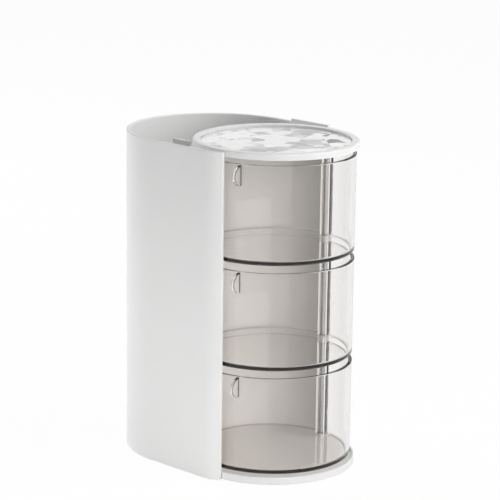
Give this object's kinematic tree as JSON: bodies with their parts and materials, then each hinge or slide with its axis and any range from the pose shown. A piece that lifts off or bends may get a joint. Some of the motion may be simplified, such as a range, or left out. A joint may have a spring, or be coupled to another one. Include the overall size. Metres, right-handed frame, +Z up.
{
  "type": "makeup brush holder",
  "caption": "Oblong white desk holder for makeup brushes with an open well at the back and round clear drawers that swing out at the front on an upright pin.",
  "frame": {"origin": "on the ground under the middle of the footprint", "axes": "+X towards the drawer end, -Y towards the plain side wall whose front end is rounded, +Z up"},
  "size_m": [0.1595, 0.113, 0.2077],
  "materials": {
    "shell_white": "satin",
    "tray_gloss": "gloss",
    "drawer_clear": "clear, polished",
    "steel": "plated",
    "sleeve_nylon": "natural",
    "soft_pad": "matte",
    "foot_rubber": "matte"
  },
  "bodies": {
    "housing": {"outer_shell": "shell_white", "inner_frame": "shell_white", "base_plate": "shell_white", "top_cap": "shell_white", "cap_insert": "tray_gloss", "hinge_pin": "steel", "spacer_base": "sleeve_nylon", "spacer_lower": "sleeve_nylon", "spacer_upper": "sleeve_nylon", "spacer_deck": "sleeve_nylon", "base_screws": "steel", "cap_screws": "steel", "closing_pads": "soft_pad", "foot_front_near": "foot_rubber", "foot_front_far": "foot_rubber", "foot_rear_near": "foot_rubber", "foot_rear_far": "foot_rubber"},
    "drawer_bottom_body": {"drawer_bottom": "drawer_clear"},
    "drawer_middle_body": {"drawer_middle": "drawer_clear"},
    "drawer_top_body": {"drawer_top": "drawer_clear"}
  },
  "joints": [
    {"name": "drawer_bottom_swing", "type": "hinge", "parent": "housing", "child": "drawer_bottom_body", "pos_m": [0.02975, 0.045, 0.0074], "axis": [0, 0, 1], "range_deg": [0, 105]},
    {"name": "drawer_middle_swing", "type": "hinge", "parent": "housing", "child": "drawer_middle_body", "pos_m": [0.02975, 0.045, 0.0729], "axis": [0, 0, 1], "range_deg": [0, 105]},
    {"name": "drawer_top_swing", "type": "hinge", "parent": "housing", "child": "drawer_top_body", "pos_m": [0.02975, 0.045, 0.1384], "axis": [0, 0, 1], "range_deg": [0, 105]}
  ]
}
